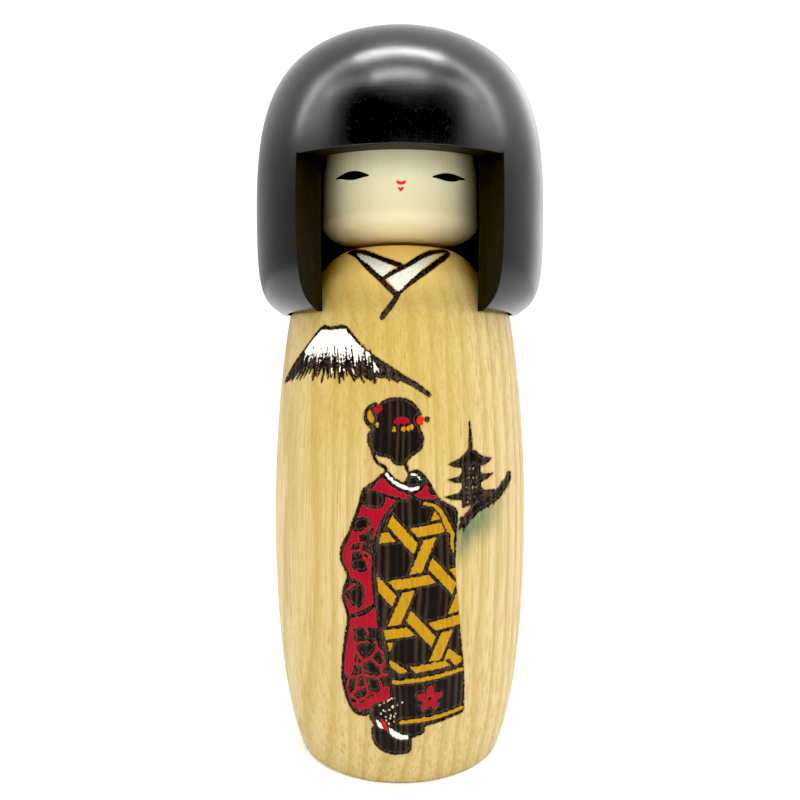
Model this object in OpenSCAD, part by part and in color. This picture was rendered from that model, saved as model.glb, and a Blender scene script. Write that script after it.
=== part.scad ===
// Kokeshi doll: a turned wooden body, and a head that turns on a dowel.
// The head is a pale face drum that stands in a hollow-turned hood of black hair.
// The doll stands on z = 0, its axis is Z, and its face looks along -Y.

/* [Body] */
// Radius of the foot that the doll stands on
foot_radius = 28.4; // [26:0.2:30]
// Radius of the body where it is widest
belly_radius = 35.7; // [34:0.1:37]
// Height of the widest place of the body
belly_height = 62; // [56:1:68]
// Radius of the body where it goes in under the hair
shoulder_radius = 31; // [30:0.1:31.4]
// Height at which the body goes in under the hair
shoulder_height = 121.5; // [120:0.1:121.7]
// Height of the rounded top of the body
dome_height = 140; // [138:0.1:141]
// Radius of the flat on top of the body, under the chin
dome_flat_radius = 12; // [8:0.5:14]
// Width of the bevel round the foot
foot_bevel = 0.6; // [0.2:0.1:1.5]

/* [Dowel] */
// Diameter of the dowel that the head turns on
dowel_diameter = 12; // [8:0.5:14]
// Length of the dowel inside the body
dowel_in_body = 41; // [25:1:60]
// Length of the dowel inside the head
dowel_in_head = 30; // [20:1:33]
// Play on the radius between the dowel and its bore in the body
turning_clearance = 0.05; // [0.02:0.01:0.1]

/* [Face] */
// Radius of the face drum
face_radius = 22.4; // [20:0.2:24]
// How far the rounding of the chin reaches in
chin_round_width = 12; // [8:0.5:15]
// How far the rounding of the chin reaches up
chin_round_height = 7; // [4:0.5:9]

/* [Hair hood] */
// Height of the whole doll
total_height = 197.8; // [194:0.2:202]
// Outer radius of the hair where it is widest
hood_radius = 40; // [39:0.2:42]
// Height of the widest place of the hair
hood_widest_height = 147; // [144:1:150]
// Height of the lower rim of the hair
rim_height = 122; // [121.8:0.1:124]
// Width of the flat on the lower rim
rim_width = 1.4; // [0.6:0.1:2]
// Radius of the hollow inside the hair
cavity_radius = 31.6; // [31.5:0.1:34]
// Height of the ceiling of the hollow
cavity_height = 168; // [163:1:171]
// Depth of the seat that the face drum is glued into
seat_depth = 10; // [5:1:12]
// Half the angle of the opening in front of the face
window_half_angle = 39.2; // [30:0.1:50]
// Height of the fringe on the outside
fringe_height = 159.5; // [155:0.1:161]
// How much the underside of the fringe rises towards the face
fringe_rise = 0.8; // [0:0.1:1.5]

/* [Hidden] */
$fn = 96;
curve_steps = 18;
overlap = 1;

// The head keeps this much air above the body, so that it turns freely.
head_air = 0.9;
chin_height = dome_height + head_air;
dowel_radius = dowel_diameter / 2;
dowel_bevel = 0.8;
bore_end_air = 0.5;
dowel_foot = dome_height - dowel_in_body;
dowel_top = chin_height + dowel_in_head;
face_top = cavity_height + seat_depth;

// Handles of the curves, as shares of the height or the width that each curve spans.
crown_flatness = 0.93;
crown_fullness = 0.43;
hood_tuck_start = 0.75;
hood_tuck_width = 0.86;
hood_tuck_height = 0.14;
flank_foot_width = 0.74;
flank_foot_height = 0.22;
flank_belly_height = 0.37;
shoulder_belly_height = 0.39;
shoulder_end_width = 0.49;
shoulder_end_height = 0.8;
dome_side_width = 0.73;
dome_side_height = 0.62;
dome_top_width = 0.39;

// Point of the cubic curve a-b-c-d at share t of its length.
function curve_point(a, b, c, d, t) =
    pow(1 - t, 3) * a + 3 * pow(1 - t, 2) * t * b + 3 * (1 - t) * pow(t, 2) * c + pow(t, 3) * d;

// The curve from a to d with the handles b and c; its last point is left to the next curve.
function curve(a, b, c, d) =
    [for (i = [0:curve_steps - 1]) curve_point(a, b, c, d, i / curve_steps)];

// A height between low and high, at the given share.
function between(low, high, share) = low + (high - low) * share;

// Outline of the body's flank, from the foot to the shoulder.
function flank_outline() = concat(
    curve(
        [foot_radius, foot_bevel],
        [between(foot_radius, belly_radius, flank_foot_width), between(0, belly_height, flank_foot_height)],
        [belly_radius, between(belly_height, 0, flank_belly_height)],
        [belly_radius, belly_height]
    ),
    curve(
        [belly_radius, belly_height],
        [belly_radius, between(belly_height, shoulder_height, shoulder_belly_height)],
        [
            between(shoulder_radius, belly_radius, shoulder_end_width),
            between(belly_height, shoulder_height, shoulder_end_height)
        ],
        [shoulder_radius, shoulder_height]
    )
);

// Outline of the dome, from the shoulder over the flat to the axis.
function dome_outline() = concat(
    curve(
        [shoulder_radius, shoulder_height],
        [shoulder_radius * dome_side_width, between(shoulder_height, dome_height, dome_side_height)],
        [between(dome_flat_radius, shoulder_radius, dome_top_width), dome_height],
        [dome_flat_radius, dome_height]
    ),
    [[dome_flat_radius, dome_height], [0, dome_height]]
);

// Outline of the hair from the rim over the widest place to the top.
function hair_outline() = concat(
    curve(
        [cavity_radius + rim_width, rim_height],
        [
            between(cavity_radius, hood_radius, hood_tuck_width),
            between(rim_height, hood_widest_height, hood_tuck_height)
        ],
        [hood_radius, between(hood_widest_height, rim_height, hood_tuck_start)],
        [hood_radius, hood_widest_height]
    ),
    curve(
        [hood_radius, hood_widest_height],
        [hood_radius, between(total_height, hood_widest_height, crown_fullness)],
        [hood_radius * crown_flatness, total_height],
        [0, total_height]
    ),
    [[0, total_height]]
);

// Quarter of an ellipse that rounds the chin, from its underside to its side.
function chin_outline() = [
    for (i = [0:curve_steps])
        let (angle = 90 * i / curve_steps)
        [
            face_radius - chin_round_width * (1 - sin(angle)),
            chin_height + chin_round_height * (1 - cos(angle))
        ]
];

// Slice of a cake about the axis, open towards -Y, that takes out the window.
module window_wedge() {
    reach = 2 * hood_radius;
    linear_extrude(height = total_height)
        polygon([
            [0, 0],
            [-reach * sin(window_half_angle), -reach * cos(window_half_angle)],
            [reach * sin(window_half_angle), -reach * cos(window_half_angle)]
        ]);
}

// The space under the fringe: its roof rises a little towards the face.
module space_under_fringe() {
    reach = hood_radius + overlap;
    slope = fringe_rise / (hood_radius - cavity_radius);
    rotate_extrude()
        polygon([
            [0, rim_height - overlap],
            [reach, rim_height - overlap],
            [reach, fringe_height - slope * overlap],
            [cavity_radius - overlap, fringe_height + fringe_rise + slope * overlap],
            [0, fringe_height + fringe_rise + slope * overlap]
        ]);
}

// Turned block with a barrel flank, a dome with a flat on top, and a blind bore for the dowel.
module body() {
    color("burlywood")
        difference() {
            rotate_extrude()
                polygon(concat(
                    [[0, 0], [foot_radius - foot_bevel, 0]],
                    flank_outline(),
                    dome_outline()
                ));
            translate([0, 0, dowel_foot - bore_end_air])
                cylinder(h = dowel_in_body + bore_end_air + overlap, r = dowel_radius + turning_clearance);
        }
}

// Plain round stick with bevelled ends, glued into the head.
module neck_dowel() {
    color("tan")
        rotate_extrude()
            polygon([
                [0, dowel_foot],
                [dowel_radius - dowel_bevel, dowel_foot],
                [dowel_radius, dowel_foot + dowel_bevel],
                [dowel_radius, dowel_top],
                [0, dowel_top]
            ]);
}

// Pale drum with a rounded chin, bored for the dowel and seated in the hair.
module head() {
    color("cornsilk")
        difference() {
            rotate_extrude()
                polygon(concat([[0, chin_height]], chin_outline(), [[face_radius, face_top], [0, face_top]]));
            translate([0, 0, chin_height - overlap])
                cylinder(h = dowel_in_head + overlap, r = dowel_radius);
        }
}

// Hollow-turned hair with a window in front of the face and a seat for the face drum.
module hair_hood() {
    color("dimgray")
        difference() {
            rotate_extrude()
                polygon(concat([[0, rim_height]], hair_outline()));
            translate([0, 0, rim_height - overlap])
                cylinder(h = cavity_height - rim_height + overlap, r = cavity_radius);
            translate([0, 0, cavity_height - overlap])
                cylinder(h = seat_depth + overlap, r = face_radius);
            intersection() {
                window_wedge();
                space_under_fringe();
            }
        }
}

body();
neck_dowel();
head();
hair_hood();
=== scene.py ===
import math

import bpy
import numpy as np
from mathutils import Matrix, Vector


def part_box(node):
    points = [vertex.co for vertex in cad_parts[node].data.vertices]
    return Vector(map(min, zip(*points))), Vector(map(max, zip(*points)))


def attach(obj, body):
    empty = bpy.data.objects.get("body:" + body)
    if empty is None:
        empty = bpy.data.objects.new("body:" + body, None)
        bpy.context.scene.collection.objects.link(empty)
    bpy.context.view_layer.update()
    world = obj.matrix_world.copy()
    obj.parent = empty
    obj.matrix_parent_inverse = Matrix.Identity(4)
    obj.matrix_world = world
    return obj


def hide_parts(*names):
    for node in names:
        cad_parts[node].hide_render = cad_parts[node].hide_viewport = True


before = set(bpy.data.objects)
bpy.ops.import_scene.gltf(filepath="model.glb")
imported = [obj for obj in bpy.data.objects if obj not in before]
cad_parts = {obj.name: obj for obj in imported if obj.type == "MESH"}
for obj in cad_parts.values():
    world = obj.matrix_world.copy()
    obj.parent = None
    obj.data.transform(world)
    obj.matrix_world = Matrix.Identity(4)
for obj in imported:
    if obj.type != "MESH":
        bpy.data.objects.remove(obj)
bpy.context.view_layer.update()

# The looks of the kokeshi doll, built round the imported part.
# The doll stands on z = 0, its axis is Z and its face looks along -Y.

# ---- sizes, from the frame

_, body_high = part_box("body")
head_low, head_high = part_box("head")
hood_low, hood_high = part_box("hair_hood")
dowel_low, dowel_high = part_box("neck_dowel")

# The hair is 40 mm in radius, so this is the length of one millimetre in the frame.
MM = hood_high.x / 40

# Radii, heights and other lengths below are in millimetres of the doll.
BELLY_RADIUS = body_high.x / MM
DOME_HEIGHT = body_high.z / MM
RIM_HEIGHT = hood_low.z / MM
TOP_HEIGHT = hood_high.z / MM
HOOD_RADIUS = hood_high.x / MM
CHIN_HEIGHT = head_low.z / MM
FACE_TOP = head_high.z / MM
FACE_RADIUS = head_high.x / MM
DOWEL_RADIUS = dowel_high.x / MM
DOWEL_FOOT = dowel_low.z / MM
DOWEL_TOP = dowel_high.z / MM

# The driving dimensions that the boxes don't give are the ones of the part's source.
FOOT_RADIUS = 28.4
FOOT_BEVEL = 0.6
BELLY_HEIGHT = 62
SHOULDER_RADIUS = 31
SHOULDER_HEIGHT = 121.5
FLAT_RADIUS = 12
BORE_AIR = 0.05
BORE_END_AIR = 0.5
CHIN_WIDTH = 12
CHIN_RISE = 7
HOOD_WIDEST = 147
RIM_WIDTH = 1.4
CAVITY_RADIUS = 31.6
CAVITY_HEIGHT = 168
WINDOW_HALF_ANGLE = math.radians(39.2)
FRINGE_HEIGHT = 159.5
FRINGE_RISE = 0.8

# The rounding of the sawn edges of the hair, which the part's source leaves sharp.
EDGE_ROUNDING = 0.28

# Places where the meshes have an extra ring of points, or where their fine rows end.
UNDERSIDE_RING = 12
FINE_FACE_TOP = 161

# How deep the burned lines lie, and how much of that depth the hard ribs in them keep.
BURN_DEPTH = 0.36
RIB_RISE = 0.17


def between(low, high, share):
    """A value between low and high; the shares in the curves below place their handles."""
    return low + (high - low) * share


def bezier(a, b, c, d, count):
    """Points of the cubic curve a-b-c-d, without its last one."""
    t = np.arange(count)[:, None] / count
    a, b, c, d = (np.array(p, float) for p in (a, b, c, d))
    return (1 - t) ** 3 * a + 3 * (1 - t) ** 2 * t * b + 3 * (1 - t) * t**2 * c + t**3 * d


def evenly(points, step):
    """The same open line through new points, which lie about one step apart."""
    points = np.array(points, float)
    run = np.concatenate([[0], np.cumsum(np.linalg.norm(np.diff(points, axis=0), axis=1))])
    places = np.linspace(0, run[-1], max(2, round(run[-1] / step) + 1))
    return np.column_stack([np.interp(places, run, points[:, i]) for i in (0, 1)])


def flank_curve(step):
    """The body from the foot to the shoulder."""
    foot = bezier(
        (FOOT_RADIUS, FOOT_BEVEL),
        (between(FOOT_RADIUS, BELLY_RADIUS, 0.74), 0.22 * BELLY_HEIGHT),
        (BELLY_RADIUS, 0.63 * BELLY_HEIGHT),
        (BELLY_RADIUS, BELLY_HEIGHT),
        200,
    )
    shoulder = bezier(
        (BELLY_RADIUS, BELLY_HEIGHT),
        (BELLY_RADIUS, between(BELLY_HEIGHT, SHOULDER_HEIGHT, 0.39)),
        (between(SHOULDER_RADIUS, BELLY_RADIUS, 0.49), between(BELLY_HEIGHT, SHOULDER_HEIGHT, 0.8)),
        (SHOULDER_RADIUS, SHOULDER_HEIGHT),
        200,
    )
    return evenly(np.vstack([foot, shoulder, [[SHOULDER_RADIUS, SHOULDER_HEIGHT]]]), step)


def dome_curve(step, bore_radius):
    """The body from the shoulder over the flat on top to the bore."""
    dome = bezier(
        (SHOULDER_RADIUS, SHOULDER_HEIGHT),
        (0.73 * SHOULDER_RADIUS, between(SHOULDER_HEIGHT, DOME_HEIGHT, 0.62)),
        (between(FLAT_RADIUS, SHOULDER_RADIUS, 0.39), DOME_HEIGHT),
        (FLAT_RADIUS, DOME_HEIGHT),
        200,
    )
    return evenly(np.vstack([dome, [[FLAT_RADIUS, DOME_HEIGHT], [bore_radius, DOME_HEIGHT]]]), step)


def hood_curve(count):
    """The hair from its rim to its top, as two runs of points."""
    rim = (CAVITY_RADIUS + RIM_WIDTH, RIM_HEIGHT)
    tuck = bezier(
        rim,
        (between(CAVITY_RADIUS, HOOD_RADIUS, 0.86), between(RIM_HEIGHT, HOOD_WIDEST, 0.14)),
        (HOOD_RADIUS, between(HOOD_WIDEST, RIM_HEIGHT, 0.75)),
        (HOOD_RADIUS, HOOD_WIDEST),
        count,
    )
    crown = bezier(
        (HOOD_RADIUS, HOOD_WIDEST),
        (HOOD_RADIUS, between(TOP_HEIGHT, HOOD_WIDEST, 0.43)),
        (0.93 * HOOD_RADIUS, TOP_HEIGHT),
        (0, TOP_HEIGHT),
        3 * count,
    )
    return np.vstack([tuck, crown, [[0, TOP_HEIGHT]]])


# ---- turning a mesh

def turned_mesh(name, profile, angles):
    """A lathe mesh. Its profile runs from axis to axis, and its angles go round from the front, -Y."""
    rows = np.array(profile[1:-1], float)
    radius = np.repeat(rows[:, 0], len(angles))
    height = np.repeat(rows[:, 1], len(angles))
    turn = np.tile(angles, len(rows))
    points = np.column_stack([radius * np.sin(turn), -radius * np.cos(turn), height])
    poles = np.array([[0, 0, profile[0][1]], [0, 0, profile[-1][1]]])
    first_pole = len(points)
    index = np.arange(first_pole).reshape(len(rows), len(angles))
    index = np.hstack([index, index[:, :1]])
    quads = np.stack([index[:-1, :-1], index[:-1, 1:], index[1:, 1:], index[1:, :-1]], axis=-1)
    faces = quads.reshape(-1, 4).tolist()
    faces += [(first_pole, b, a) for a, b in zip(index[0, :-1], index[0, 1:])]
    faces += [(first_pole + 1, a, b) for a, b in zip(index[-1, :-1], index[-1, 1:])]
    mesh = bpy.data.meshes.new(name)
    mesh.from_pydata((np.vstack([points, poles]) * MM).tolist(), [], faces)
    mesh.update()
    return mesh, turn, height


def linked(name, data):
    """A new object, linked to the scene."""
    thing = bpy.data.objects.new(name, data)
    bpy.context.scene.collection.objects.link(thing)
    return thing


def add_object(mesh, node, body, materials):
    """Puts the finished mesh in the scene in place of a CAD node."""
    piece = linked(mesh.name, mesh)
    for material in materials:
        mesh.materials.append(material)
    mesh.shade_smooth()
    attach(piece, body)
    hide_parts(node)
    return piece


def set_attribute(mesh, name, values):
    attribute = mesh.attributes.new(name, "FLOAT", "POINT")
    padded = np.full(len(mesh.vertices), values.min(), np.float32)
    padded[: len(values)] = values
    attribute.data.foreach_set("value", padded)


def smooth_step(values, low, high):
    share = np.clip((values - low) / (high - low), 0, 1)
    return share * share * (3 - 2 * share)


# ---- drawing by signed distance

# A drawing lies on the unrolled surface: across is to the right of the front line, up is the height,
# both in millimetres. Each shape is a signed distance, in millimetres, that is positive inside.
FAR = 9.0
NEAR = 2.5


def smooth_line(points, closed):
    """A curve through the points (Catmull-Rom)."""
    steps = 6
    points = np.array(points, float)
    if closed:
        around = np.vstack([points[-1], points, points[:2]])
    else:
        around = np.vstack([2 * points[0] - points[1], points, 2 * points[-1] - points[-2]])
    t = (np.arange(steps) / steps)[:, None]
    runs = []
    for a, b, c, d in zip(around, around[1:], around[2:], around[3:]):
        runs.append(0.5 * (2 * b + (c - a) * t + (2 * a - 5 * b + 4 * c - d) * t**2
                           + (3 * b - a - 3 * c + d) * t**3))
    if not closed:
        runs.append(points[-1:])
    return np.vstack(runs)


class Drawing:
    """The layers of a drawing, each a signed distance at every point of the surface."""

    def __init__(self, across, up):
        self.points = np.column_stack([across, up])

    def empty(self):
        return np.full(len(self.points), -FAR)

    def near(self, line, reach):
        low = line.min(axis=0) - reach
        high = line.max(axis=0) + reach
        return np.flatnonzero(np.all((self.points > low) & (self.points < high), axis=1))

    def shape(self, outline, rounded=True):
        """A filled shape with a closed outline."""
        outline = smooth_line(outline, True) if rounded else np.array(outline, float)
        chosen = self.near(outline, NEAR)
        places = self.points[chosen]
        distance = np.full(len(chosen), FAR)
        inside = np.zeros(len(chosen), bool)
        for a, b in zip(outline, np.roll(outline, -1, axis=0)):
            step = b - a
            share = np.clip(((places - a) @ step) / max(step @ step, 1e-9), 0, 1)
            away = places - a - share[:, None] * step
            distance = np.minimum(distance, np.hypot(away[:, 0], away[:, 1]))
            crosses = (a[1] > places[:, 1]) != (b[1] > places[:, 1])
            rise = step[1] if abs(step[1]) > 1e-9 else 1e-9
            inside ^= crosses & (places[:, 0] < a[0] + (places[:, 1] - a[1]) / rise * step[0])
        result = self.empty()
        result[chosen] = np.where(inside, distance, -distance)
        return result

    def stroke(self, line, *widths, rounded=True):
        """A line with round ends. Its width runs through the given widths from end to end."""
        line = smooth_line(line, False) if rounded else np.array(line, float)
        chosen = self.near(line, NEAR + max(widths) / 2)
        places = self.points[chosen]
        run = np.concatenate([[0], np.cumsum(np.hypot(*np.diff(line, axis=0).T))])
        best = np.full(len(chosen), -FAR)
        for a, b, start in zip(line, line[1:], run):
            step = b - a
            length = max(math.hypot(*step), 1e-9)
            share = np.clip(((places - a) @ step) / length**2, 0, 1)
            away = places - a - share[:, None] * step
            where = (start + share * length) / run[-1]
            half = np.interp(where, np.linspace(0, 1, len(widths)), widths) / 2
            best = np.maximum(best, half - np.hypot(away[:, 0], away[:, 1]))
        result = self.empty()
        result[chosen] = best
        return result

    def spot(self, across, up, wide, high=None):
        """An oval spot with the given half width and half height."""
        high = high or wide
        offset = (self.points - (across, up)) / (wide, high)
        return np.maximum((1 - np.hypot(offset[:, 0], offset[:, 1])) * min(wide, high), -FAR)


def union(*shapes):
    return np.maximum.reduce(shapes)


def common(*shapes):
    return np.minimum.reduce(shapes)


def minus(shape, *holes):
    return np.minimum(shape, -np.maximum.reduce(holes))


# ---- the drawing on the body

def collar(d):
    """Crossed collar: burned edges with white between them, and the short tail under the crossing."""
    edges = union(
        d.stroke([(-34, 138.8), (-22, 136.9), (-13, 133.1), (-7, 129.8), (-1, 125.6)], 0.9, 1.5, 1.4),
        d.stroke([(-34, 139.1), (-20, 137.9), (-10, 136), (-4, 134.6), (1, 133.4)], 0.8, 1.2, 1.4),
        d.stroke([(-6.4, 130.2), (-2, 131.9), (3, 133.6), (10, 136.2), (18, 137.8), (32, 138.9)],
                 1.3, 1.3, 0.9),
        d.stroke([(-1.2, 125.8), (3, 128.6), (10, 132), (18, 135.1), (30, 138.4)], 1.4, 1.5, 1.0),
        d.stroke([(-0.6, 125.6), (-2.6, 123), (-5, 120)], 1.3, 1.7, 1.5),
    )
    left = d.shape([(-24, 137.7), (-10, 135.4), (-2.6, 133.2), (-6.4, 130.5), (-13, 133.8)], False)
    right = d.shape([
        (-4.9, 129.9), (-1, 131.6), (4, 133.3), (10, 135.5), (19, 137.3), (14, 135.1), (9, 132.8),
        (4, 129.8), (-0.4, 126.5),
    ], False)
    return edges, union(left, right)


def mountain(d, rng):
    """A snow-capped mountain: outline, hatched foot, and snow with a ragged hem."""
    slope = np.array([
        (-43, 103.4), (-38, 106.8), (-33.5, 110), (-30, 112.7), (-26.5, 115.7), (-24.4, 117.4),
        (-22.8, 117.7), (-20.5, 117.3), (-17.4, 117.7), (-15.4, 117.1), (-13, 114.8), (-10.4, 112.3),
        (-7, 109.8), (-4, 107.9), (0, 105.4), (4, 103.3), (7.5, 101),
    ], float)
    outline = d.stroke(slope, 0.7, 0.9, 0.8, 1.0, 1.2, 1.9, 1.2)
    flank = d.shape([
        (-43, 102.8), (-36, 108), (-31.5, 111.2), (-27, 110.6), (-24, 110.8), (-20, 109.6), (-16, 108.8),
        (-12, 109.6), (-8, 109.2), (-3, 106.8), (0, 105.2), (-5, 105), (-10, 105.6), (-14, 106.6),
        (-19, 108), (-24, 108.6), (-29, 107.4), (-34, 105.6), (-38, 104),
    ], False)
    hatch = []
    for place in [*np.arange(-35, -17, 1.1), *np.arange(-17, -1, 0.7)]:
        fan = min(max((place + 20) / 12, -1), 1)
        top = min(np.interp(place, slope[:, 0], slope[:, 1]) - 1, 109.4)
        foot = min(104.4 + rng.uniform(-0.7, 1.6), top - 0.6)
        lean = (top - foot) * (fan + rng.uniform(-0.12, 0.12))
        middle = (place + 0.4 * lean, between(top, foot, 0.5))
        hatch.append(d.stroke([(place, top), middle, (place + lean, foot)], 0.9, 1.0, 0.5))
    field = d.shape([
        (-31, 111.6), (-28.2, 114), (-24.4, 117), (-20.5, 116.9), (-16, 117.2), (-12.2, 113.8), (-8, 110.7),
        (-6.6, 108.4), (-9.4, 109.6), (-12, 108.8), (-14, 110.4), (-18, 109.6), (-22, 111), (-26, 111),
        (-28.5, 110.6),
    ], False)
    tongues = []
    for place in np.arange(-29, -7, 0.95):
        start = min(np.interp(place, slope[:, 0], slope[:, 1]) - 1.6, 112)
        drop = rng.uniform(1, 5) * math.exp(-((place + 17) / 8) ** 2) + rng.uniform(0.4, 2.6)
        drift = drop * min(max((place + 20) / 14, -0.9), 0.9)
        tongues.append(d.stroke([(place, start), (place + drift, start - drop)], 0.95, 0.4, rounded=False))
    teeth = []
    for place in np.arange(-28, -7, 0.9):
        foot = min(np.interp(place, slope[:, 0], slope[:, 1]) - 2, 108.6)
        rise = rng.uniform(0.6, 4.6)
        tip = (place - 0.2 * rise, foot + rise)
        teeth.append(d.stroke([(place, foot - 1), tip], 0.9, 0.3, rounded=False))
    snow = minus(union(field, *tongues), *teeth)
    return minus(union(outline, flank, *hatch, *teeth), snow), snow


def hairdo(d):
    """The hair of the figure, seen from behind, with its comb, beads and pin."""
    hair = union(
        d.shape([
            (-2.6, 100.2), (1.4, 100.1), (4.3, 98.3), (5.7, 95.6), (5.1, 93.2), (6.1, 90.4), (5.4, 87.6),
            (3, 85.9), (0.9, 84), (-1.2, 84), (-3, 85.6), (-6, 86.2), (-7.9, 88.4), (-8.3, 91.2),
            (-6.9, 93.3), (-6.5, 96.4), (-5.3, 98.8),
        ]),
        d.shape([(-5.8, 98.8), (-8.6, 97.9), (-9.5, 95.4), (-8.3, 93.2), (-6.4, 93)]),
        d.spot(6.9, 94.9, 0.75),
        d.stroke([(-7.2, 87.6), (-5.8, 84.6), (-3.6, 83.2), (-3.6, 81.6)], 0.7, 0.7, 1.0),
        d.stroke([(1.2, 84.6), (2, 82.4), (3.6, 79.9)], 1.0, 0.7, 0.8),
    )
    ochre = union(
        d.shape([(-7.9, 97.4), (-7, 95.8), (-6.8, 94.2), (-7.9, 94.4), (-8.5, 96)]),
        d.spot(-5.9, 93.5, 0.4, 0.7),
        d.spot(-1.5, 92.5, 0.5, 0.6),
        d.spot(0.9, 92.6, 0.6, 0.55),
        d.spot(2.1, 92.8, 0.5, 0.6),
        d.spot(3, 93.1, 0.45, 0.65),
    )
    crimson = union(
        d.shape([(-6.8, 97.4), (-5.8, 98.5), (-4.6, 98.2), (-5, 97), (-5.8, 96.3)]),
        d.shape([(-1.6, 94), (-1, 95.2), (0.4, 95.7), (1.8, 95.3), (2.7, 94.2), (0.6, 93.9)]),
    )
    bead = union(d.spot(5.3, 95.1, 0.95, 0.75), d.spot(5.5, 94, 0.6, 0.5), d.spot(4.7, 94.4, 0.5))
    return hair, ochre, crimson, bead


def blossom(d, across, up, size):
    """A small flower with five round petals."""
    petals = []
    widths = [size * share for share in (0.2, 0.5, 0.75, 0.6)]
    for turn in np.radians(90 + 72 * np.arange(5)):
        tip = (across + size * math.cos(turn), up + size * math.sin(turn))
        petals.append(d.stroke([(across, up), tip], *widths, rounded=False))
    return minus(union(*petals), d.spot(across, up, 0.2 * size))


def lattice(d, across, up):
    """Bands on the edges of a honeycomb, each turned a little, so that three whirl round every corner."""
    pitch = 13.9
    length = 9.1
    width = 2.7
    stretch = (1.12, 1)
    lean = math.radians(-31)
    first = math.radians(250)

    def way(angle):
        return np.array([math.cos(angle), math.sin(angle)]) * stretch

    step_a = pitch * way(first)
    step_b = pitch * way(first + math.pi / 3)
    turns = [first + math.pi / 6 + k * 2 * math.pi / 3 for k in range(3)]
    bands = []
    for i in range(-4, 7):
        for j in range(-5, 6):
            corner = np.array([across, up]) + i * step_a + j * step_b
            for k, turn in enumerate(turns):
                middle = corner + pitch / math.sqrt(12) * way(turn)
                if abs(middle[0] - 6) > 18 or abs(middle[1] - 53) > 28:
                    continue
                along = way(turn + lean)
                end = way(turns[(k + 1) % 3] + lean)
                aside = width / 2 / (along[0] * end[1] - along[1] * end[0]) * end
                half = length / 2 * along
                bands.append(d.shape([middle - half - aside, middle + half - aside, middle + half + aside,
                                      middle - half + aside], False))
    return union(*bands)


def net(d, rng):
    """Angular cells between thin veins, drawn as the gaps of a scattered set of points."""
    pitch = 3.7
    sites = []
    for row, up in enumerate(np.arange(18, 45, pitch)):
        for across in np.arange(-19, -1, pitch):
            shift = 0.5 * pitch * (row % 2)
            sites.append((across + shift + rng.uniform(-1.6, 1.6), up + rng.uniform(-1.6, 1.6)))
    sites = np.array(sites)
    cells = d.empty()
    chosen = np.flatnonzero((np.abs(d.points[:, 0] + 9) < 10) & (np.abs(d.points[:, 1] - 31) < 13))
    for chunk in np.array_split(chosen, 20):
        offset = d.points[chunk][:, None, :] - sites[None, :, :]
        square = np.sum(offset**2, axis=2)
        order = np.argsort(square, axis=1)[:, :4]
        rows = np.arange(len(chunk))
        first = order[:, 0]
        gap = np.full(len(chunk), FAR)
        for other in order[:, 1:].T:
            apart = np.linalg.norm(sites[first] - sites[other], axis=1)
            reach = (square[rows, other] - square[rows, first]) / (2 * apart)
            gap = -np.logaddexp(-12 * gap, -12 * reach) / 12
        cells[chunk] = gap - 0.32
    return cells


def patches(d):
    """The large dark patches on the upper half of the sleeve, with crimson veins across them."""
    dark = union(
        d.shape([(-10.4, 76.8), (-6, 77.2), (-4, 75.6), (-5.2, 73.6), (-8.8, 74)]),
        d.shape([
            (-11.2, 69.8), (-8.4, 70.6), (-6.9, 68.6), (-7.2, 66.4), (-6.6, 64.3), (-9.2, 64.4),
            (-10.2, 66.6), (-11.2, 67.6),
        ]),
        d.shape([(-12, 63.2), (-9.8, 64.4), (-7, 63.6), (-6.9, 61.8), (-9.4, 61.2), (-11.6, 60.9)]),
        d.shape([(-12, 59.8), (-9, 60.3), (-7.9, 58.6), (-9.4, 57.7), (-11.4, 58)]),
        d.shape([(-13.2, 54.9), (-10.6, 54.6), (-9.3, 52.4), (-9.8, 49), (-11.6, 48.7), (-13.3, 51)]),
        d.shape([(-11.6, 42.4), (-8, 43), (-5, 42.6), (-6, 40.4), (-10, 40)]),
    )
    veins = union(
        d.stroke([(-11.6, 66.6), (-8.9, 67.4), (-6.4, 69.6)], 0.9, 0.7, 0.9),
        d.stroke([(-9.6, 64.6), (-9.7, 62.8), (-8.4, 60), (-7.4, 57.4)], 0.7, 0.5, 0.7),
        d.stroke([(-13, 62), (-9.6, 62.6), (-6.6, 61)], 0.5, 0.4, 0.6),
        d.stroke([(-13.8, 52.4), (-11.6, 54)], 0.6, 0.7),
        d.stroke([(-8.9, 43.4), (-8, 41.4), (-8.6, 39.6)], 0.8, 0.6, 0.7),
    )
    return minus(dark + 0.4, veins)


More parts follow.
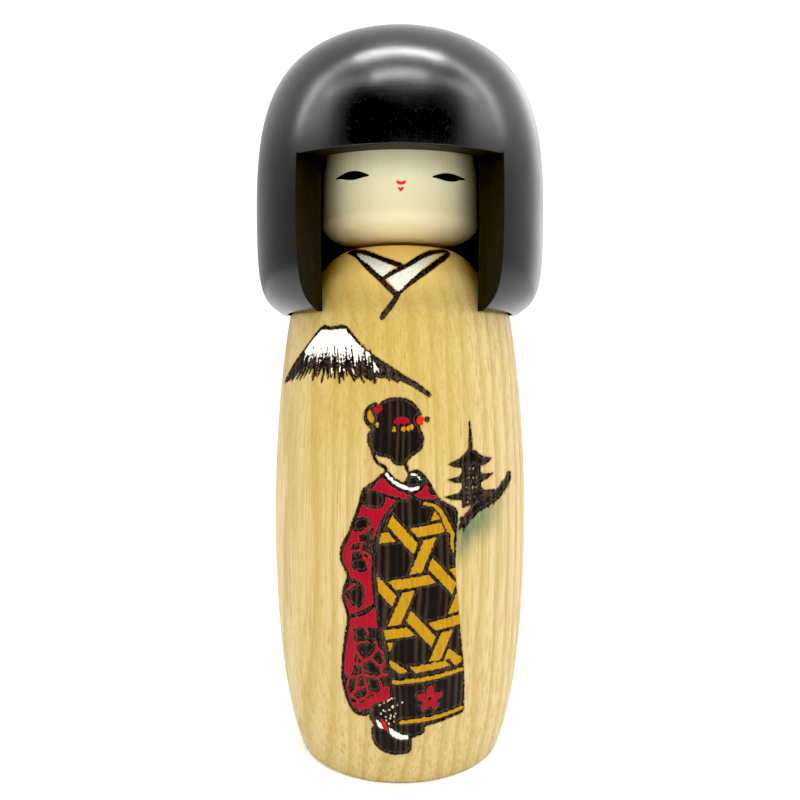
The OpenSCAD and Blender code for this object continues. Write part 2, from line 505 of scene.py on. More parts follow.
def kimono(d, rng):
    """The robe from behind: netted sleeve, sash panel with a lattice, white and crimson collar."""
    robe = d.shape([
        (-4, 81.8), (-6.4, 80), (-9.4, 77.8), (-10.5, 74), (-12, 70), (-13.2, 66.8), (-15, 63.6),
        (-15.4, 60), (-14, 57.2), (-13.6, 55.4), (-14.6, 53), (-15, 50.4), (-14.2, 47.6), (-13.7, 45),
        (-14.6, 40), (-15.6, 34), (-15.9, 29), (-15.2, 24.6), (-13.6, 21), (-12, 19.8), (-9.6, 19.7),
        (-7.8, 20.4), (-5, 18.4), (-1, 17.4), (4, 16.8), (8, 17.2), (13, 18.2), (17.6, 19.2), (18.5, 19.8),
        (18.3, 22), (17.6, 30), (16, 41), (15, 49), (14.2, 57), (14.4, 65), (14.8, 71.2), (14, 73),
        (11, 74.8), (9.4, 76.2), (7.8, 79), (5.6, 82), (3, 82.6), (0, 79),
    ])
    skirt = d.shape([
        (-8.4, 21), (-7.6, 17.8), (-4.6, 16.2), (-1.4, 14.8), (2.6, 14.1), (5, 14.5), (7, 16.2), (4, 21),
        (-2, 28), (-5, 25),
    ])
    sandal = d.shape([
        (-7.5, 17.2), (-8, 14.6), (-7.2, 11.8), (-5, 10), (-2, 9.3), (1.6, 9.5), (3.2, 10.6), (3.3, 13),
        (2.8, 14.6), (-1, 16), (-4.4, 18),
    ])
    loop = [
        (-3.4, 81.6), (-1.8, 80), (0.4, 78.7), (2.8, 77.9), (4.6, 78.4), (5.1, 80.2), (4.1, 81.4),
        (2.8, 81.6),
    ]
    collar_edge = d.stroke(loop, 1.8, 2.0, 1.6)
    collar_white = union(d.stroke(loop[:5], 0.7, 0.8, 0.7), d.stroke(loop[-3:], 0.35, 0.55))

    panel = d.shape([
        (0.5, 75.4), (-2.6, 72), (-4.9, 68), (-6.1, 62), (-6.2, 55), (-4.9, 44), (-3.2, 37), (-2, 31),
        (-1, 24), (-0.4, 17.8), (9, 18.4), (19.6, 20.6), (18.4, 30), (16.6, 42), (15.2, 52), (14.6, 62),
        (14.2, 66), (12.6, 71), (9.4, 74), (5, 75.8),
    ])
    sleeve = d.shape([
        (-4.6, 80.2), (-7, 78.2), (-9.4, 76.4), (-9.6, 74), (-11.2, 69.4), (-12.6, 66), (-14.2, 63),
        (-14.5, 60.4), (-13, 57), (-12.7, 55.2), (-13.7, 52.6), (-14, 50.4), (-13.3, 47.4), (-12.8, 45),
        (-13.7, 40), (-14.7, 34), (-15, 29), (-14.3, 25), (-12.9, 21.8), (-11.4, 20.7), (-9.4, 20.9),
        (-6, 23), (-2.9, 25.4), (-3.2, 32), (-4.6, 38), (-5.8, 45), (-7, 55), (-6.9, 62), (-5.6, 68.6),
        (-3, 73), (-0.6, 75.6), (-1.4, 77.6),
    ])
    slash = d.stroke([(-14, 45.6), (-9.6, 46.9), (-5.8, 49.6)], 1.0, 1.5, 0.8)
    lap = d.stroke([(-8.8, 77.6), (-4.2, 76.6), (0.6, 75.2)], 0.7, 0.9, 0.8)
    band = common(
        union(
            d.shape([(-6, 79.4), (-4.4, 80.8), (-1.4, 78), (2.4, 76.5), (1.4, 75.5), (-2.6, 77)], False),
            d.shape([
                (3.5, 76.5), (5.4, 77.6), (6.4, 79), (7.2, 78.4), (6.8, 77), (9, 76.2), (8.8, 75.4),
                (5, 75.7),
            ], False),
        ),
        -collar_edge,
    )
    edge = d.stroke([(-14, 45), (-13.4, 40), (-13.4, 36), (-13.6, 31.6)], 3, 2.4, 3.6, 2.2)
    hem = d.stroke([(-12.8, 22.6), (-10.4, 22.2), (-6.4, 24.8), (-3.4, 26.4)], 1.2, 1.8, 1.8, 2.6)
    netting = minus(common(net(d, rng), 41.4 - d.points[:, 1]), edge, hem)
    crimson = union(minus(sleeve, netting, patches(d), slash, lap, panel + 0.7, collar_edge), band)

    inner = panel - 0.6
    border = union(
        d.shape([(-2.9, 35.2), (-1, 34.3), (2.2, 32.2), (0, 31.6), (-2.3, 33.4)], False),
        d.shape([(2.4, 33.4), (4, 31.8), (13.4, 32.8), (12, 34.4)], False),
        d.shape([(11.8, 36), (13, 37.3), (16.6, 34.4), (16.6, 33.2), (14.6, 32.8)], False),
    )
    weave = union(common(lattice(d, 4.9, 65.4), inner, d.points[:, 1] - 34.6), border)
    trim_line = [(6, 74.4), (8.6, 73.7), (10.4, 71.9), (11.4, 69.8), (12.6, 67.6), (13.4, 66.2)]
    trim = union(
        d.stroke(trim_line, 0.7, 0.8, 1.0, 1.5, 1.0),
        d.stroke([(13.2, 65.6), (13.2, 64), (13.4, 62)], 0.9, 0.8, 0.4),
    )
    trim_gap = union(
        d.stroke(trim_line, 1.9, 2.1, 2.9),
        d.shape([(11, 75), (16, 75), (16, 60), (12.6, 60), (12.8, 67)], False),
    )
    stripes = union(
        d.stroke([(-1.5, 29.3), (8, 30.1), (16.9, 31.3)], 1.0),
        d.stroke([(0.3, 18.5), (9, 19.2), (17.7, 20.6)], 1.0),
    )
    ochre = union(minus(weave, trim_gap), trim, stripes)
    flower = blossom(d, 8, 24.6, 2.7)

    sock = union(
        d.shape([(-3.1, 17.2), (-1.9, 16.3), (0.4, 15), (2.2, 14.7), (2.2, 13.8), (0, 13.7), (-2.3, 14.8)]),
        d.stroke([(-6.2, 18.6), (-5.6, 17.4), (-4.7, 16.7)], 0.7, 1.0, 0.5),
    )
    strap = d.stroke([(-5, 19), (-4.2, 17.4), (-3.7, 16.2)], 0.6, 0.9, 0.6)
    dots = []
    for place in range(26):
        across = -6 + 4.6 * (place * 0.618 % 1) + 0.1 * place * (place % 2)
        dots.append(d.spot(across, 17.6 + 0.3 * place, 0.24))
    cream = minus(common(union(*dots), skirt - 0.3), union(sock, strap) + 0.4)

    burned = minus(union(robe, skirt, sandal, collar_edge), crimson, ochre, flower, sock, collar_white)
    return burned, union(crimson, flower), ochre, union(collar_white, sock), strap, cream


def pagoda(d):
    """A three-roofed tower with a finial, in silhouette, with small lit windows."""
    middle = 19
    roofs = []
    for height, reach, lift, ridge in ((83.8, 6.8, 3.4, 0.8), (80, 7.1, 1.7, 2.9), (75.8, 8.1, 1.8, 2.9)):
        roofs.append(d.shape([
            (middle - reach, height), (middle - 0.5 * reach, height + 0.38 * lift),
            (middle - ridge, height + lift), (middle + ridge, height + lift),
            (middle + 0.52 * reach, height + 0.45 * lift), (middle + reach + 0.5, height + 0.6),
            (middle + 0.72 * reach, height - 0.8), (middle + 2.9, height - 1.1),
            (middle - 2.9, height - 1.1), (middle - 0.72 * reach, height - 0.9),
        ], False))
    core = d.shape([(middle - 2.9, 84), (middle + 2.9, 84), (middle + 3.4, 73.6), (middle - 3, 72.8)], False)
    finial = d.stroke([(middle, 86.5), (middle, 90.5), (middle - 0.1, 94)], 1.5, 1.1, 0.5)
    lights = []
    for height in (82.4, 80.1, 77.6, 73.9):
        for place in (-1.6, -0.9, 0.4, 1.3):
            lights.append(d.spot(middle + place + 0.08 * (height - 78), height, 0.17, 0.3))
    return minus(union(core, finial, *roofs), *lights)


def hill(d, rng):
    """A bushy ridge, and how strong the green wash below it is at each point."""
    ridge = [(15.6, 68.6), (17.8, 70), (20, 72.2), (23.4, 73.6), (27.6, 74.8), (31, 76.8), (34, 78.6)]
    line = smooth_line(ridge, False)
    bushes = [d.stroke(ridge, 1.2, 2.6, 3.0, 2.9, 2.6, 2.0)]
    for across, up in line[::2]:
        bushes.append(d.spot(across + rng.uniform(-0.5, 0.5), up + rng.uniform(0.4, 1.5), 0.7))
        tuft = (across + rng.uniform(-0.6, 0.6), up - rng.uniform(1.2, 2.2))
        bushes.append(d.stroke([(across, up), tuft], 1.0, 0.3, rounded=False))
    bushes.append(d.spot(33.1, 79.6, 0.75))
    below = np.interp(d.points[:, 0], line[:, 0], line[:, 1]) - d.points[:, 1]
    sides = smooth_step(d.points[:, 0], 13.8, 15.2) * (1 - smooth_step(d.points[:, 0], 20, 36))
    wash = sides * smooth_step(below, -0.5, 0.5) * (1 - smooth_step(below, 3, 13))
    return union(*bushes), wash


def body_layers(across, up):
    """Every layer of the drawing on the body."""
    rng = np.random.default_rng(7)
    d = Drawing(across, up)
    collar_burn, collar_white = collar(d)
    mountain_burn, snow = mountain(d, rng)
    hair_burn, hair_ochre, hair_crimson, bead = hairdo(d)
    robe_burn, robe_crimson, robe_ochre, robe_white, strap, cream = kimono(d, rng)
    hill_burn, wash = hill(d, rng)
    collar_burn = minus(collar_burn, collar_white)
    hair_burn = minus(hair_burn, bead)
    return {
        "burn": union(collar_burn, mountain_burn, hair_burn, robe_burn, pagoda(d), hill_burn),
        "ochre": union(hair_ochre, robe_ochre),
        "crimson": union(hair_crimson, robe_crimson),
        "vermilion": union(bead, strap),
        "white": union(collar_white, snow, robe_white),
        "cream": cream,
        "wash": wash,
    }


# ---- material building blocks

class Graph:
    """The nodes of a material or of the world, with short calls for what they are made of."""

    def __init__(self, owner, shader):
        owner.use_nodes = True
        self.owner = owner
        self.nodes = owner.node_tree.nodes
        self.links = owner.node_tree.links
        self.shader = self.nodes[shader]

    def put(self, socket, value):
        if isinstance(value, bpy.types.NodeSocket):
            self.links.new(value, socket)
        else:
            socket.default_value = value

    def set(self, name, value):
        self.put(self.shader.inputs[name], value)

    def place(self, *stretch):
        """The point on the object in millimetres, times the given stretch along each axis."""
        where = self.nodes.new("ShaderNodeTexCoord").outputs["Object"]
        scaled = self.nodes.new("ShaderNodeVectorMath")
        scaled.operation = "MULTIPLY"
        self.links.new(where, scaled.inputs[0])
        scaled.inputs[1].default_value = [share / MM for share in stretch]
        return scaled.outputs[0]

    def split(self, vector):
        """The three coordinates of a vector."""
        node = self.nodes.new("ShaderNodeSeparateXYZ")
        self.links.new(vector, node.inputs[0])
        return node.outputs

    def attribute(self, name):
        node = self.nodes.new("ShaderNodeAttribute")
        node.attribute_name = name
        return node.outputs["Fac"]

    def math(self, operation, a, b=0.0):
        node = self.nodes.new("ShaderNodeMath")
        node.operation = operation
        self.put(node.inputs[0], a)
        self.put(node.inputs[1], b)
        return node.outputs[0]

    def times(self, a, b):
        return self.math("MULTIPLY", a, b)

    def plus(self, a, b):
        return self.math("ADD", a, b)

    def hypot(self, a, b):
        return self.math("SQRT", self.plus(self.times(a, a), self.times(b, b)))

    def noise(self, stretch, detail=2.0, roughness=0.5):
        """Noise with features of about a millimetre, divided by the stretch along each axis."""
        node = self.nodes.new("ShaderNodeTexNoise")
        self.links.new(self.place(*stretch), node.inputs["Vector"])
        node.inputs["Scale"].default_value = 1.0
        node.inputs["Detail"].default_value = detail
        node.inputs["Roughness"].default_value = roughness
        return node.outputs["Fac"]

    def step(self, value, low, high, to_low=0.0, to_high=1.0):
        """A smooth step from to_low at low to to_high at high."""
        node = self.nodes.new("ShaderNodeMapRange")
        node.interpolation_type = "SMOOTHSTEP"
        for socket, number in zip(node.inputs[:5], (value, low, high, to_low, to_high)):
            self.put(socket, number)
        return node.outputs[0]

    def mix(self, share, a, b, blend="MIX"):
        node = self.nodes.new("ShaderNodeMix")
        node.data_type = "RGBA"
        node.blend_type = blend
        self.put(node.inputs["Factor"], share)
        self.put(node.inputs[6], a)
        self.put(node.inputs[7], b)
        return node.outputs[2]

    def blend(self, share, a, b):
        """A number between a and b."""
        node = self.nodes.new("ShaderNodeMix")
        self.put(node.inputs["Factor"], share)
        self.put(node.inputs[2], a)
        self.put(node.inputs[3], b)
        return node.outputs[0]

    def bump(self, height, depth):
        """Bump of the given depth in millimetres for each unit of height."""
        node = self.nodes.new("ShaderNodeBump")
        node.inputs["Strength"].default_value = 1.0
        node.inputs["Distance"].default_value = depth * MM
        self.links.new(height, node.inputs["Height"])
        self.set("Normal", node.outputs[0])


def material_graph(name):
    return Graph(bpy.data.materials.new(name), "Principled BSDF")


def colour(red, green, blue):
    """A colour given as the eye sees it, from 0 to 255, as the linear colour that the shader wants."""
    parts = []
    for part in (red, green, blue):
        part = part / 255
        parts.append(part / 12.92 if part <= 0.04045 else ((part + 0.055) / 1.055) ** 2.4)
    return (*parts, 1.0)


def ring_streaks(g, pith_across, pith_deep, pitch, bend):
    """Growth rings round a far pith, which show as upright streaks: 0 in early wood, 1 in late wood."""
    x, y, _ = g.split(g.place(1, 1, 1))
    away = g.hypot(g.math("SUBTRACT", x, pith_across), g.math("SUBTRACT", y, pith_deep))
    slow = g.noise((0.05, 0.05, 0.006), 2)
    away = g.plus(away, g.times(slow, bend))
    share = g.math("FRACT", g.math("DIVIDE", away, pitch))
    rise = g.step(share, 0.35, 0.86)
    fall = g.step(share, 0.9, 1.0, 1.0, 0.0)
    return g.times(rise, fall)


def painted(g, attribute, softness=0.07, wobble=None):
    """Where a layer of the drawing lies: 1 inside it, 0 outside."""
    distance = g.attribute(attribute)
    if wobble is not None:
        distance = g.plus(distance, wobble)
    return g.step(distance, -softness, softness)


# ---- materials

def body_material():
    """Pale open-grained wood with upright grain, burned lines, a thin green wash and five paints."""
    g = material_graph("body_wood")
    rings = ring_streaks(g, pith_across=150, pith_deep=35, pitch=4.2, bend=11)
    broad = g.noise((0.11, 0.11, 0.008), 2)
    fibre = g.noise((1.7, 1.7, 0.03), 3, 0.65)
    fine = g.noise((6, 6, 0.12), 2, 0.6)
    pore = g.noise((3, 3, 0.16), 2, 0.5)
    pores = g.times(g.step(pore, 0.63, 0.71), g.step(rings, 0.7, 0.1, 0.25, 1.0))

    # Painted light and shade: the wood is darker up the middle of the front and the back, and paler at the
    # sides and low down, where more light falls on it. The dome is painted lighter and warmer below.
    x, _, up = g.split(g.place(1, 1, 1))
    aside = g.step(g.math("ABSOLUTE", g.plus(x, g.times(broad, 8))), 6, 34)
    pale = g.math("MAXIMUM", aside, g.step(up, 108, 70, 0.0, 0.6))
    wood = g.mix(pale, colour(169, 148, 78), colour(196, 179, 140))
    wood = g.mix(g.times(broad, 0.5), wood, colour(180, 154, 82))
    wood = g.mix(g.times(rings, 0.5), wood, colour(158, 129, 58))
    wood = g.mix(g.step(fibre, 0.44, 0.64, 0.0, 0.5), wood, colour(156, 128, 60))
    wood = g.mix(g.step(fine, 0.5, 0.8, 0.0, 0.3), wood, colour(218, 202, 150))
    wood = g.mix(g.times(pores, 0.65), wood, colour(150, 102, 38))
    # Painted light: the dome under the hair is made lighter and warmer, to stand in for the light that the
    # hair's shade keeps off it.
    wood = g.mix(g.step(up, 122, 139), wood, (0.86, 0.5, 0.13, 1), "SCREEN")

    wobble = g.times(g.math("SUBTRACT", g.noise((1.5, 1.5, 1.5), 3, 0.7), 0.5), 1.2)
    burn_distance = g.attribute("burn")
    scorch = g.step(burn_distance, -0.35, 0.0, 0.0, 0.55)
    wood = g.mix(scorch, wood, colour(112, 66, 26))

    thin = g.noise((0.8, 0.8, 0.16), 3)
    wash = g.times(g.attribute("wash"), g.step(thin, 0.25, 0.7, 0.6, 0.95))
    wood = g.mix(wash, wood, colour(76, 100, 70))

    rib = g.attribute("rib")
    grit = g.noise((3.4, 3.4, 1.3), 3, 0.65)
    # The ribs are lighter than the grooves: partly the less charred late wood's own colour, partly a painted
    # sheen on the ribs.
    char = g.mix(rib, colour(6, 1, 0), colour(54, 39, 25))
    char = g.mix(g.step(grit, 0.45, 0.75, 0.0, 0.6), char, colour(4, 3, 2))
    # Painted highlight: grey glints along the middle of thin burned lines and just inside the edges of wide
    # burned areas.
    core = g.times(g.step(burn_distance, 0.2, 0.5), g.step(burn_distance, 0.9, 0.6))
    char = g.mix(g.times(core, g.step(grit, 0.56, 0.42, 0.0, 0.45)), char, colour(92, 82, 74))
    burned = painted(g, "burn", 0.08, wobble)
    look = g.mix(burned, wood, char)

    streak = g.noise((2.6, 2.6, 0.2), 3, 0.6)
    paints = (
        ("ochre", colour(169, 128, 8), colour(147, 104, 6)),
        ("crimson", colour(148, 5, 31), colour(120, 3, 23)),
        ("vermilion", colour(200, 24, 8), colour(166, 14, 5)),
        ("white", colour(228, 227, 214), colour(206, 203, 186)),
        ("cream", colour(230, 214, 170), colour(205, 184, 130)),
    )
    covered = None
    for layer, light, dark in paints:
        mask = painted(g, layer, 0.07, g.times(wobble, -1.0))
        look = g.mix(mask, look, g.mix(g.step(streak, 0.35, 0.75), light, dark))
        covered = mask if covered is None else g.math("MAXIMUM", covered, mask)
    g.set("Base Color", look)

    wood_gloss = g.blend(g.step(fibre, 0.3, 0.7), 0.42, 0.55)
    roughness = g.blend(burned, wood_gloss, g.blend(g.step(grit, 0.3, 0.7), 0.34, 0.6))
    g.set("Roughness", g.blend(covered, roughness, 0.4))
    g.set("Specular IOR Level", 0.18)

    relief = g.times(g.math("SUBTRACT", fibre, g.times(pores, 0.8)), 0.5)
    char_relief = g.times(g.plus(rib, g.times(grit, 0.5)), 1.6)
    relief = g.blend(burned, relief, char_relief)
    relief = g.plus(relief, g.times(covered, 0.9))
    g.bump(relief, 0.06)
    return g.owner


def face_material():
    """Very pale close-grained wood with faint arcs of growth, painted eyes and lips."""
    g = material_graph("face_wood")
    across, _, up = g.split(g.place(1, 1, 1))
    slow = g.noise((0.12, 0.12, 0.12), 2)
    away = g.hypot(across, g.times(g.math("SUBTRACT", up, 157), 0.8))
    away = g.plus(away, g.times(slow, 5))
    arcs = g.step(g.math("FRACT", g.math("DIVIDE", away, 1.35)), 0.2, 0.95)
    fibre = g.noise((3, 3, 0.25), 3, 0.6)
    broad = g.noise((0.09, 0.09, 0.05), 2)
    wood = g.mix(broad, colour(222, 217, 184), colour(211, 203, 164))
    wood = g.mix(g.times(arcs, 0.1), wood, colour(198, 186, 140))
    wood = g.mix(g.step(fibre, 0.45, 0.75, 0.0, 0.2), wood, colour(203, 193, 152))
    # Painted shade: the face wood is darker and warmer towards the chin, where the chin turns down away from
    # the light.
    wood = g.mix(g.step(up, 140, 160, 0.6, 0.0), wood, colour(206, 186, 138))
    eyes = painted(g, "eyes", 0.05)
    lips = painted(g, "lips", 0.06)
    look = g.mix(eyes, wood, colour(14, 16, 22))
    look = g.mix(lips, look, colour(196, 8, 20))
    g.set("Base Color", look)
    paint = g.math("MAXIMUM", eyes, lips)
    g.set("Roughness", g.blend(paint, g.blend(fibre, 0.44, 0.56), 0.36))
    g.set("Specular IOR Level", 0.35)
    g.bump(g.plus(g.times(fibre, 0.5), paint), 0.03)
    return g.owner


def lacquer_material():
    """Satin black lacquer over turned wood: orange peel, faint turning rings, small nibs of dust."""
    g = material_graph("hair_lacquer")
    peel = g.noise((1.7, 1.7, 1.7), 3, 0.6)
    speck = g.noise((4.5, 4.5, 4.5), 1, 0.4)
    turned = g.noise((0.05, 0.05, 2.6), 3, 0.65)
    cloud = g.noise((0.08, 0.08, 0.08), 3)
    look = g.mix(cloud, colour(4, 4, 4), colour(6, 6, 6))
    g.set("Base Color", look)
    rough = g.blend(g.step(cloud, 0.35, 0.65), 0.16, 0.21)
    g.set("Roughness", g.plus(rough, g.times(peel, 0.05)))
    g.set("Specular IOR Level", 0.58)
    nibs = g.step(speck, 0.68, 0.78)
    height = g.plus(peel, g.times(turned, 0.8))
    g.bump(g.plus(height, nibs), 0.013)
    return g.owner


def cut_material():
    """The sawn walls of the window and the hollow: thinner, duller black over open grain."""
    g = material_graph("hair_cut")
    grain = g.noise((2.2, 2.2, 0.14), 3, 0.6)
    fine = g.noise((7, 7, 0.5), 2, 0.6)
    look = g.mix(grain, colour(18, 17, 11), colour(31, 29, 20))
    g.set("Base Color", look)
    g.set("Roughness", g.blend(fine, 0.55, 0.75))
    g.set("Specular IOR Level", 0.25)
    g.bump(g.plus(grain, g.times(fine, 0.4)), 0.05)
    return g.owner


def dowel_material():
    """Plain turned wood of the neck dowel, polished by turning."""
    g = material_graph("dowel_wood")
    fibre = g.noise((2, 2, 0.12), 3, 0.6)
    marks = g.noise((0.02, 0.02, 3), 1)
    look = g.mix(fibre, colour(222, 190, 140), colour(190, 150, 98))
    look = g.mix(g.step(marks, 0.5, 0.8, 0.0, 0.3), look, colour(170, 130, 84))
    g.set("Base Color", look)
    g.set("Roughness", g.blend(fibre, 0.42, 0.6))
    g.bump(g.plus(fibre, marks), 0.04)
    return g.owner


def floor_material():
    """Matt white paper on a light table, which glows faintly through it."""
    g = material_graph("white_paper")
    tooth = g.noise((0.9, 0.9, 0.9), 2)
    g.set("Base Color", g.mix(tooth, colour(250, 250, 250), colour(246, 246, 246)))
    g.set("Roughness", 0.9)
    g.set("Specular IOR Level", 0.2)
    g.set("Emission Color", (1, 1, 1, 1))
    g.set("Emission Strength", 0.1)
    g.bump(tooth, 0.02)
    return g.owner


# ---- pieces

def angles_round(fine_width, fine_step, side_width, side_step, coarse_step, radius):
    """Angles all the way round: small steps in front, larger ones at the sides, the largest behind."""
    stops = [0, fine_width, side_width, math.pi * radius]
    half = []
    for low, high, step in zip(stops, stops[1:], (fine_step, side_step, coarse_step)):
        half.append(np.linspace(low, high, math.ceil((high - low) / step) + 1)[:-1])
    half = np.concatenate(half) / radius
    return np.concatenate([-half[:0:-1], half, [math.pi]])


def body_piece():
    """The turned body, with the burned parts of its drawing sunk into the wood."""
    flank = flank_curve(0.38)
    bore_radius = DOWEL_RADIUS + BORE_AIR
    bore_foot = DOWEL_FOOT - BORE_END_AIR
    dome = dome_curve(0.4, bore_radius)
    profile = [(0, 0), (UNDERSIDE_RING, 0), (FOOT_RADIUS - FOOT_BEVEL, 0), *flank, *dome[1:],
               (bore_radius, bore_foot), (0, bore_foot)]
    angles = angles_round(
        fine_width=20, fine_step=0.3, side_width=44, side_step=0.5, coarse_step=4, radius=BELLY_RADIUS
    )
    mesh, turn, height = turned_mesh("turned_body", profile, angles)
    across = turn * BELLY_RADIUS
    first = 2 * len(angles)
    last = first + (len(flank) + len(dome) - 1) * len(angles)
    layers = body_layers(across[first:last], height[first:last])
    for name, values in layers.items():
        lowest = 0.0 if name == "wash" else -FAR
        whole = np.full(len(height), lowest)
        whole[first:last] = values
        set_attribute(mesh, name, whole)
    whole = np.zeros(len(height))
    whole[first:last] = ribs(across[first:last], height[first:last])
    set_attribute(mesh, "rib", whole)
    sink_burned(mesh, layers["burn"], whole[first:last], first, last)
    return add_object(mesh, "body", "body", [body_material()])


def ribs(across, up):
    """The hard late wood that stands up where the wood is burned: 0 in a groove, 1 on a rib."""
    drift = 0.5 * np.sin(up / 17 + across / 9) + 0.3 * np.sin(up / 6.3 + 1.7)
    place = across + drift
    phase = 2 * math.pi * place / 2.1 + 1.3 * np.sin(place / 2.3) + 0.8 * np.sin(place / 0.9)
    wave = 0.5 + 0.5 * np.sin(phase)
    swell = 0.72 + 0.28 * np.sin(place / 1.3 + up / 11)
    return smooth_step(wave * swell, 0.2, 1.0)


def sink_burned(mesh, burn, rib, first, last):
    """Moves the burned points in along their normals, less so on the ribs."""
    points = np.empty((len(mesh.vertices), 3))
    normals = np.empty_like(points)
    mesh.vertices.foreach_get("co", points.ravel())
    mesh.vertex_normals.foreach_get("vector", normals.ravel())
    depth = smooth_step(burn, -0.05, 0.4) * (BURN_DEPTH - RIB_RISE * rib) * MM
    points[first:last] -= depth[:, None] * normals[first:last]
    mesh.vertices.foreach_set("co", points.ravel())
    mesh.update()


def face_piece():
    """The face drum, with its eyes and lips as layers of signed distance."""
    turn = np.linspace(0, math.pi / 2, 22)
    chin = np.column_stack([
        FACE_RADIUS - CHIN_WIDTH * (1 - np.sin(turn)),
        CHIN_HEIGHT + CHIN_RISE * (1 - np.cos(turn)),
    ])
    side = np.arange(CHIN_HEIGHT + CHIN_RISE + 0.4, FINE_FACE_TOP, 0.22)
    drum = np.column_stack([np.full(len(side), FACE_RADIUS), side])
    profile = [(0, DOWEL_TOP), (DOWEL_RADIUS, DOWEL_TOP), (DOWEL_RADIUS, CHIN_HEIGHT), *chin, *drum,
               (FACE_RADIUS, FACE_TOP), (0, FACE_TOP)]
    angles = angles_round(
        fine_width=22, fine_step=0.22, side_width=34, side_step=0.6, coarse_step=3, radius=FACE_RADIUS
    )
    mesh, turn, height = turned_mesh("face_drum", profile, angles)
    d = Drawing(turn * FACE_RADIUS, height)
    left = d.shape([
        (-19.3, 157), (-16.6, 157.8), (-14, 158.2), (-11, 157.9), (-8, 156.6), (-10, 156.2), (-12.5, 155.9),
        (-15, 156.2), (-17, 156.7),
    ])
    right = d.shape([
        (8.4, 156.3), (11, 157.3), (13.6, 157.7), (16.4, 157.5), (20, 157), (17.4, 156.5), (15.4, 155.8),
        (12.8, 155.6), (10.4, 155.9),
    ])
    lips = union(
        d.stroke([(-0.75, 154.75), (-0.2, 154.4), (0.3, 154.3), (0.8, 154.4), (1.35, 154.75)],
                 0.5, 0.9, 0.7, 0.9, 0.5),
        d.shape([(-0.6, 153.4), (0.2, 153.2), (1, 153.4), (0.75, 152.7), (0.2, 152.2), (-0.35, 152.7)]),
    )
    set_attribute(mesh, "eyes", union(left, right))
    set_attribute(mesh, "lips", lips)
    return add_object(mesh, "head", "head", [face_material()])


def hood_piece():
    """The hair: a turned shell with a hollow, and a window sawn out in front."""
    outer = hood_curve(26)
    cut = np.argmax(outer[:, 1] > FRINGE_HEIGHT)
    fringe_radius = np.interp(FRINGE_HEIGHT, outer[:, 1], outer[:, 0])
    outer = np.vstack([outer[:cut], [[fringe_radius, FRINGE_HEIGHT]], outer[cut:]])
    share = (outer[: cut + 1, 1] - RIM_HEIGHT) / (FRINGE_HEIGHT - RIM_HEIGHT)
    inner_top = FRINGE_HEIGHT + FRINGE_RISE
    inner = np.column_stack([np.full(cut + 1, CAVITY_RADIUS), between(RIM_HEIGHT, inner_top, share)])
    roof = [(CAVITY_RADIUS, CAVITY_HEIGHT), (FACE_RADIUS, CAVITY_HEIGHT), (FACE_RADIUS, FACE_TOP)]
    window = np.linspace(-WINDOW_HALF_ANGLE, WINDOW_HALF_ANGLE, 41)
    rest = np.linspace(WINDOW_HALF_ANGLE, 2 * math.pi - WINDOW_HALF_ANGLE, 141)[1:-1]
    turns = np.concatenate([window, rest])
    window_strips = len(window) - 1
    columns = len(turns)

    points = []
    faces = []
    slots = []

    def ring(radius, height):
        """Adds a ring of points and returns the numbers of its points, the first one again at the end."""
        first = len(points)
        points.extend((radius * math.sin(a), -radius * math.cos(a), height) for a in turns)
        return [*range(first, first + columns), first]

    def strips(low, high, chosen, slot):
        """Joins two rings by faces at the chosen columns."""
        for i in chosen:
            faces.append((low[i], low[i + 1], high[i + 1], high[i]))
            slots.append(slot)

    everywhere = range(columns)
    beside = range(window_strips, columns)
    outer_rings = [ring(r, z) for r, z in outer[:-1]]
    inner_rings = [ring(r, z) for r, z in inner]
    roof_rings = [ring(r, z) for r, z in roof]
    for level, (low, high) in enumerate(zip(outer_rings, outer_rings[1:])):
        strips(low, high, beside if level < cut else everywhere, 0)
    for low, high in zip(inner_rings, inner_rings[1:]):
        strips(high, low, beside, 1)
    for low, high in zip([inner_rings[-1], *roof_rings], roof_rings):
        strips(high, low, everywhere, 1)
    strips(inner_rings[0], outer_rings[0], beside, 0)
    strips(inner_rings[-1], outer_rings[cut], range(window_strips), 1)
    for column, turned in ((0, 1), (window_strips, -1)):
        wall = [circle[column] for circle in (*outer_rings[: cut + 1], *inner_rings[::-1])]
        faces.append(tuple(wall[::turned]))
        slots.append(1)
    for pole_height, last_ring, slot in ((TOP_HEIGHT, outer_rings[-1], 0), (FACE_TOP, roof_rings[-1], 1)):
        points.append((0, 0, pole_height))
        for a, b in zip(last_ring, last_ring[1:]):
            faces.append((a, b, len(points) - 1) if slot == 0 else (b, a, len(points) - 1))
            slots.append(slot)

    used = sorted({corner for face in faces for corner in face})
    number = {old: new for new, old in enumerate(used)}
    mesh = bpy.data.meshes.new("hair")
    corners = [Vector(points[i]) * MM for i in used]
    mesh.from_pydata(corners, [], [[number[corner] for corner in face] for face in faces])
    mesh.update()
    piece = add_object(mesh, "hair_hood", "head", [lacquer_material(), cut_material()])
    mesh.polygons.foreach_set("material_index", slots)
    bevel = piece.modifiers.new("rounded_edges", "BEVEL")
    bevel.width = EDGE_ROUNDING * MM
    bevel.segments = 3
    bevel.limit_method = "ANGLE"
    bevel.angle_limit = math.radians(35)
    bevel.harden_normals = True
    return piece


# ---- studio

# The height of the tent's ceiling, and how bright its parts are.
TENT_HEIGHT = 530
LOW_WALLS = 0.55
HIGH_WALLS = 0.95
SIDE_GLOW = 2.0
FRONT_DARK = 0.1
FRONT_BELOW = 0.85
FRONT_ABOVE = 1.15

# The brightness that the picture shows as black.
BLACK_POINT = 0.018

# The camera's distance in radii of the hair, its height as a share of the doll's, its tilt in radians.
CAMERA_AWAY = 5.5375
CAMERA_UP = 0.5592
CAMERA_TILT = 0.0581


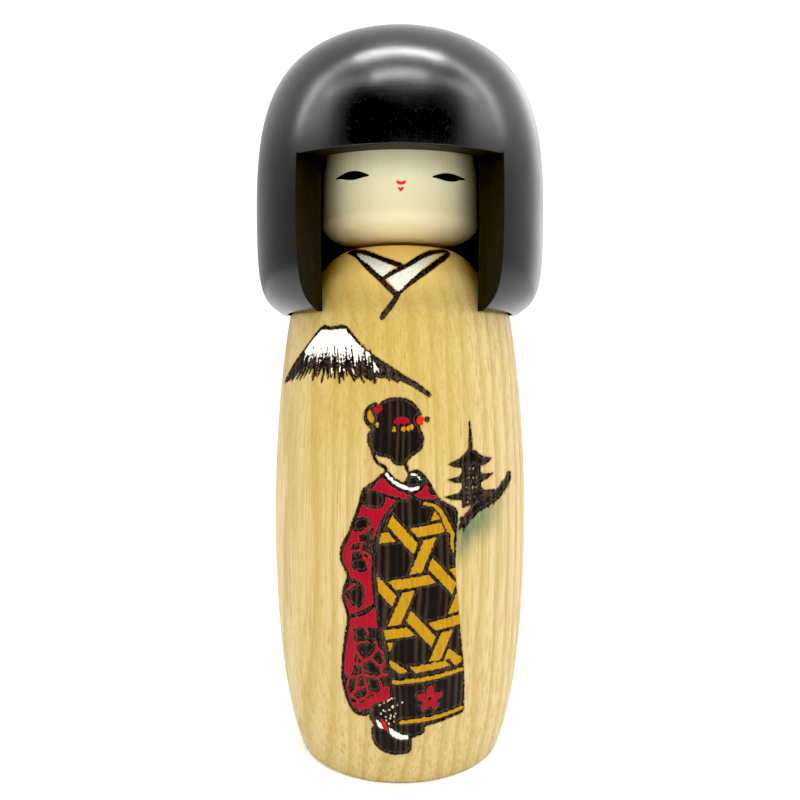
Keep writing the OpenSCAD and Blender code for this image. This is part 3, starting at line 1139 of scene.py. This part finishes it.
def floor_piece():
    """A wide sheet of white paper that the doll stands on."""
    reach = 60 * HOOD_RADIUS
    mesh = bpy.data.meshes.new("paper_floor")
    corners = [(-reach, -reach, 0), (reach, -reach, 0), (reach, reach, 0), (-reach, reach, 0)]
    mesh.from_pydata([Vector(corner) * MM for corner in corners], [], [(0, 1, 2, 3)])
    mesh.materials.append(floor_material())
    floor = linked("paper_floor", mesh)


def lamp(name, where, tilt, turn, long, wide, glow):
    """A flat lamp of the given size. The glow is its power in watts per square metre."""
    light = bpy.data.lights.new(name, "AREA")
    light.shape = "RECTANGLE"
    light.size = long * MM
    light.size_y = wide * MM
    light.energy = glow * light.size * light.size_y
    holder = linked(name, light)
    holder.location = Vector(where) * MM
    holder.rotation_euler = (tilt, 0, turn)
    holder.visible_camera = False


def strip(name, deep, wide, long, glow, wing_long, wing_glow, sweep):
    """A strip of lamps across the ceiling, with a dimmer wing at either end, swept back in degrees."""
    lamp(name, (0, -deep, TENT_HEIGHT), 0, 0, long, wide, glow)
    sweep = math.radians(sweep)
    across = long / 2 + wing_long / 2 * math.cos(sweep)
    back = wing_long / 2 * math.sin(sweep)
    for word, side in (("left", -1), ("right", 1)):
        where = (side * across, back - deep, TENT_HEIGHT)
        lamp(f"{name}_{word}", where, 0, side * sweep, wing_long, wide, wing_glow)


def surroundings():
    """The white walls of a light tent, brighter to the right, with a dark opening in front for the camera."""
    world = bpy.data.worlds.new("light_tent")
    bpy.context.scene.world = world
    g = Graph(world, "Background")
    x, y, z = g.split(g.nodes.new("ShaderNodeTexCoord").outputs["Generated"])
    forward = g.math("DIVIDE", g.times(y, -1.0), g.math("MAXIMUM", g.hypot(x, y), 0.001))
    in_front = g.step(forward, 0.45, 0.8)
    walls = g.times(g.step(z, 0.25, 0.5, LOW_WALLS, HIGH_WALLS), g.step(x, -1.0, 1.0, 1.0, 1.45))
    behind = g.times(g.step(x, 0.2, 0.5, 0.0, 1.2), g.step(y, 0.45, 0.8))
    walls = g.times(walls, g.plus(behind, 1.0))
    below = g.step(z, 0.27, 0.36, FRONT_BELOW, FRONT_DARK)
    above = g.step(z, 0.76, 0.88, 0.0, FRONT_ABOVE)
    front = g.math("MAXIMUM", below, above)
    beside = g.times(g.step(forward, 0.36, 0.62, SIDE_GLOW, 0.0), g.step(forward, -0.2, 0.1))
    beside = g.times(beside, g.times(g.step(z, 0.3, 0.5), g.step(z, 0.68, 0.8, 1.0, 0.0)))
    strength = g.plus(g.times(walls, g.math("SUBTRACT", 1.0, in_front)), g.times(front, in_front))
    strength = g.plus(strength, beside)
    seen = g.nodes.new("ShaderNodeLightPath").outputs["Is Camera Ray"]
    strength = g.math("MAXIMUM", strength, g.times(seen, 1.2))
    g.set("Color", (1, 1, 1, 1))
    g.set("Strength", strength)


def camera():
    """The picture is taken from close by, a little above the middle of the doll, looking slightly down."""
    data = bpy.data.cameras.new("camera")
    data.lens = 34.7
    data.sensor_width = 36
    data.clip_start = 0.01
    view = linked("camera", data)
    view.location = Vector((0, -CAMERA_AWAY * HOOD_RADIUS, CAMERA_UP * TOP_HEIGHT)) * MM
    view.rotation_euler = (math.pi / 2 - CAMERA_TILT, 0, 0)
    bpy.context.scene.camera = view


def picture_settings():
    scene = bpy.context.scene
    scene.view_settings.view_transform = "Standard"
    scene.view_settings.look = "None"
    scene.view_settings.use_curve_mapping = True
    scene.view_settings.curve_mapping.black_level = (BLACK_POINT, BLACK_POINT, BLACK_POINT)
    scene.cycles.use_denoising = True


# ---- the scene

body_piece()
face_piece()
hood_piece()
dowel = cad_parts["neck_dowel"]
dowel.data.materials.clear()
dowel.data.materials.append(dowel_material())

floor_piece()
surroundings()
strip("main_strip", deep=104, wide=42, long=320, glow=88, wing_long=700, wing_glow=21, sweep=6)
strip("front_strip", deep=282, wide=36, long=280, glow=76, wing_long=320, wing_glow=21, sweep=17)
lamp("front_card", where=(0, -420, 185), tilt=math.pi / 2, turn=0, long=600, wide=90, glow=12)
camera()
picture_settings()
